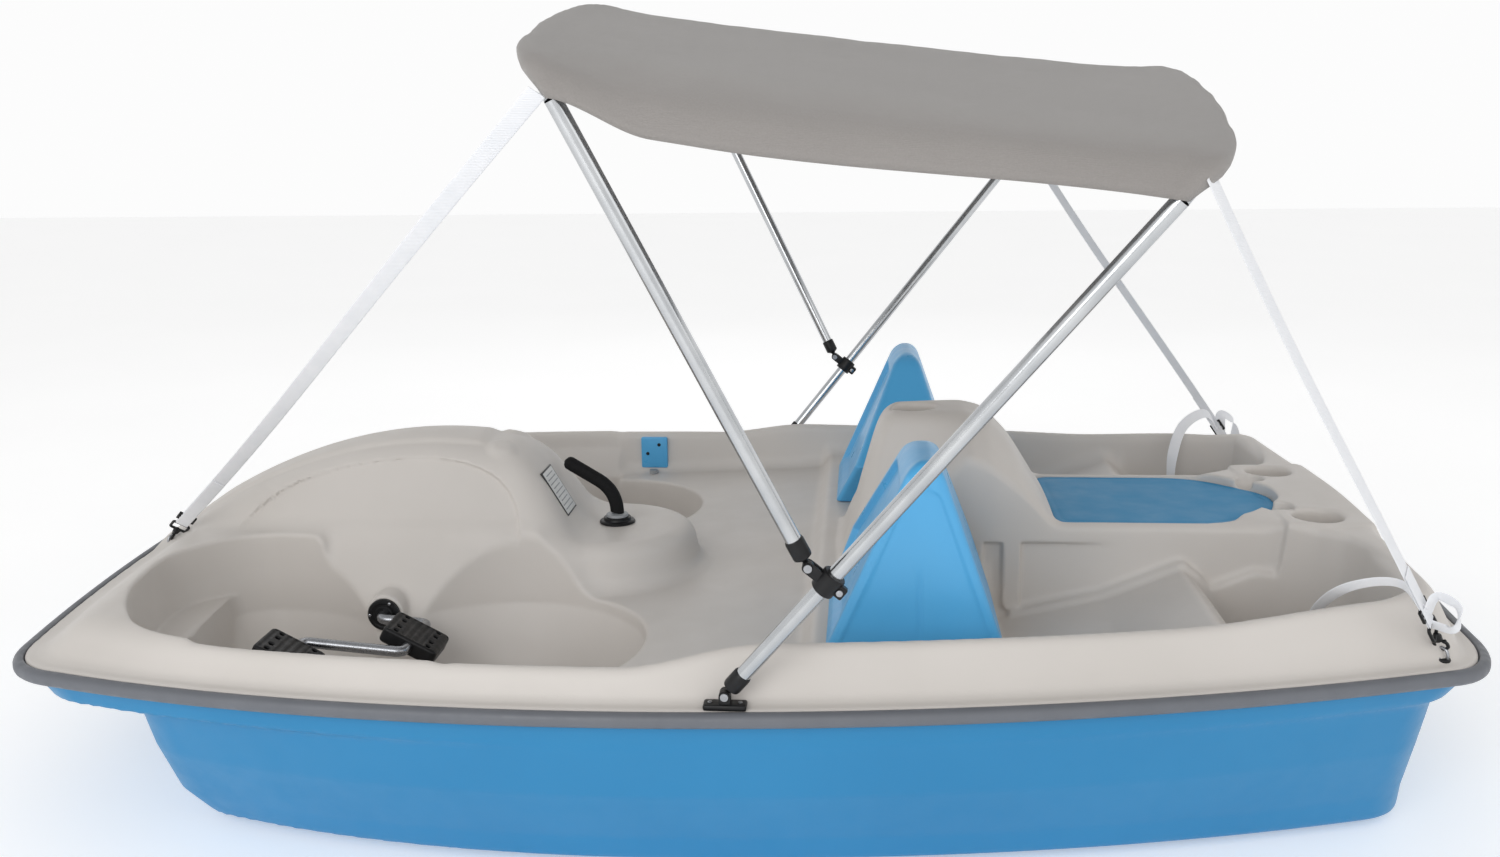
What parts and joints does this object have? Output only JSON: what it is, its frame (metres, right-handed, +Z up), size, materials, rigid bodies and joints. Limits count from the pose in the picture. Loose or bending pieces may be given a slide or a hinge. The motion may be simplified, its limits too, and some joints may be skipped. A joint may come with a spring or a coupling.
{
  "type": "pedal boat",
  "caption": "Recreational pedal boat: moulded hull and deck with fore footwells, paddle wheel driven by cranks, hand rudder, sliding seat-backs, cooler box and folding canopy.",
  "frame": {"origin": "under the middle of the hull, on its flat bottom", "axes": "+X towards the bow, +Y to port, +Z up"},
  "size_m": [2.349, 1.8962, 1.2817],
  "materials": {
    "hull": "moulded blue polyethylene, satin, faint moulding texture",
    "deck": "moulded warm grey-white polyethylene, fine leather-like grain",
    "rail": "extruded grey vinyl, matt",
    "seat": "moulded light blue polyethylene, satin",
    "lid": "moulded blue polyethylene, matt",
    "steel": "stainless, lightly brushed",
    "grip": "black foam rubber sleeve",
    "black": "moulded black nylon, fine grain",
    "grey": "moulded grey plastic",
    "tube": "bright anodised tube, drawn lines along its length",
    "fabric": "grey woven polyester, hemmed edges",
    "strap": "white woven nylon webbing",
    "label": "blank pale self-adhesive plate",
    "foam": "closed-cell foam"
  },
  "bodies": {
    "boat": {"hull": "hull", "deck": "deck", "rub_rail": "rail", "steering_flange": "black", "rudder_bush": "black", "crank_bearing_port": "black", "crank_bearing_starboard": "black", "deck_hinge_port": "black", "deck_hinge_starboard": "black", "hinge_pin_port": "steel", "hinge_pin_starboard": "steel", "bow_pad_eye": "black", "fore_hook": "black", "stern_pad_eye_port": "black", "stern_pad_eye_starboard": "black", "aft_hook_port": "black", "aft_hook_starboard": "black", "aft_strap_port": "strap", "aft_strap_starboard": "strap", "side_bracket": "seat", "bracket_stub": "grey", "info_plate": "label", "drain_plug": "black", "foam_block_port": "foam", "foam_block_starboard": "foam"},
    "steering": {"steering_lever": "steel", "steering_grip": "grip", "steering_washer": "grey", "rudder_blade": "black"},
    "wheel_and_cranks": {"paddle_wheel": "black", "crank_port": "steel", "crank_starboard": "steel"},
    "inner_pedal_port_body": {"inner_pedal_port": "black"},
    "inner_pedal_starboard_body": {"inner_pedal_starboard": "black"},
    "outer_pedal_port_body": {"outer_pedal_port": "black"},
    "outer_pedal_starboard_body": {"outer_pedal_starboard": "black"},
    "seat_back_port_body": {"seat_back_port": "seat"},
    "seat_back_starboard_body": {"seat_back_starboard": "seat"},
    "lid": {"cooler_lid": "lid"},
    "main_bow": {"main_bow_crown": "tube", "main_bow_leg_port": "tube", "main_bow_leg_starboard": "tube", "main_bow_foot_port": "black", "main_bow_foot_starboard": "black", "jaw_slide_port": "black", "jaw_slide_starboard": "black", "jaw_screw_port": "steel", "jaw_screw_starboard": "steel"},
    "second_bow": {"second_bow_crown": "tube", "second_bow_leg_port": "tube", "second_bow_leg_starboard": "tube", "second_bow_foot_port": "black", "second_bow_foot_starboard": "black", "canopy": "fabric", "fore_strap": "strap"}
  },
  "joints": [
    {"name": "rudder_turn", "type": "hinge", "parent": "boat", "child": "steering", "pos_m": [0.275, 0, 0.25], "axis": [0, 0, 1], "range_deg": [-50, 50]},
    {"name": "crank_spin", "type": "hinge", "parent": "boat", "child": "wheel_and_cranks", "pos_m": [0.65, 0, 0.23], "axis": [0, 1, 0], "continuous": true},
    {"name": "inner_pedal_port_spin", "type": "hinge", "parent": "wheel_and_cranks", "child": "inner_pedal_port_body", "pos_m": [0.5653, 0.368, 0.2226], "axis": [0, 1, 0], "continuous": true},
    {"name": "inner_pedal_starboard_spin", "type": "hinge", "parent": "wheel_and_cranks", "child": "inner_pedal_starboard_body", "pos_m": [0.5653, -0.368, 0.2226], "axis": [0, 1, 0], "continuous": true},
    {"name": "outer_pedal_port_spin", "type": "hinge", "parent": "wheel_and_cranks", "child": "outer_pedal_port_body", "pos_m": [0.7347, 0.496, 0.2374], "axis": [0, 1, 0], "continuous": true},
    {"name": "outer_pedal_starboard_spin", "type": "hinge", "parent": "wheel_and_cranks", "child": "outer_pedal_starboard_body", "pos_m": [0.7347, -0.496, 0.2374], "axis": [0, 1, 0], "continuous": true},
    {"name": "seat_back_port_slide", "type": "slide", "parent": "boat", "child": "seat_back_port_body", "axis": [1, 0, 0], "range_m": [-0.06, 0]},
    {"name": "seat_back_starboard_slide", "type": "slide", "parent": "boat", "child": "seat_back_starboard_body", "axis": [1, 0, 0], "range_m": [-0.06, 0]},
    {"name": "cooler_lid_lift", "type": "slide", "parent": "boat", "child": "lid", "axis": [0, 0, 1], "range_m": [0, 0.25]},
    {"name": "canopy_fold", "type": "hinge", "parent": "boat", "child": "main_bow", "pos_m": [-0.01, 0, 0.314], "axis": [0, -1, 0], "range_deg": [0, 36], "deforming": ["canopy", "aft_strap_port", "aft_strap_starboard"]},
    {"name": "second_bow_fold", "type": "hinge", "parent": "main_bow", "child": "second_bow", "pos_m": [-0.1259, 0, 0.5102], "axis": [0, -1, 0], "range_deg": [0, 60], "deforming": ["fore_strap"]}
  ],
  "couplings": [
    {"joint": "inner_pedal_port_spin", "follows": "crank_spin", "ratio": -1},
    {"joint": "inner_pedal_starboard_spin", "follows": "crank_spin", "ratio": -1},
    {"joint": "outer_pedal_port_spin", "follows": "crank_spin", "ratio": -1},
    {"joint": "outer_pedal_starboard_spin", "follows": "crank_spin", "ratio": -1},
    {"joint": "second_bow_fold", "follows": "canopy_fold", "ratio": 1.6666}
  ]
}
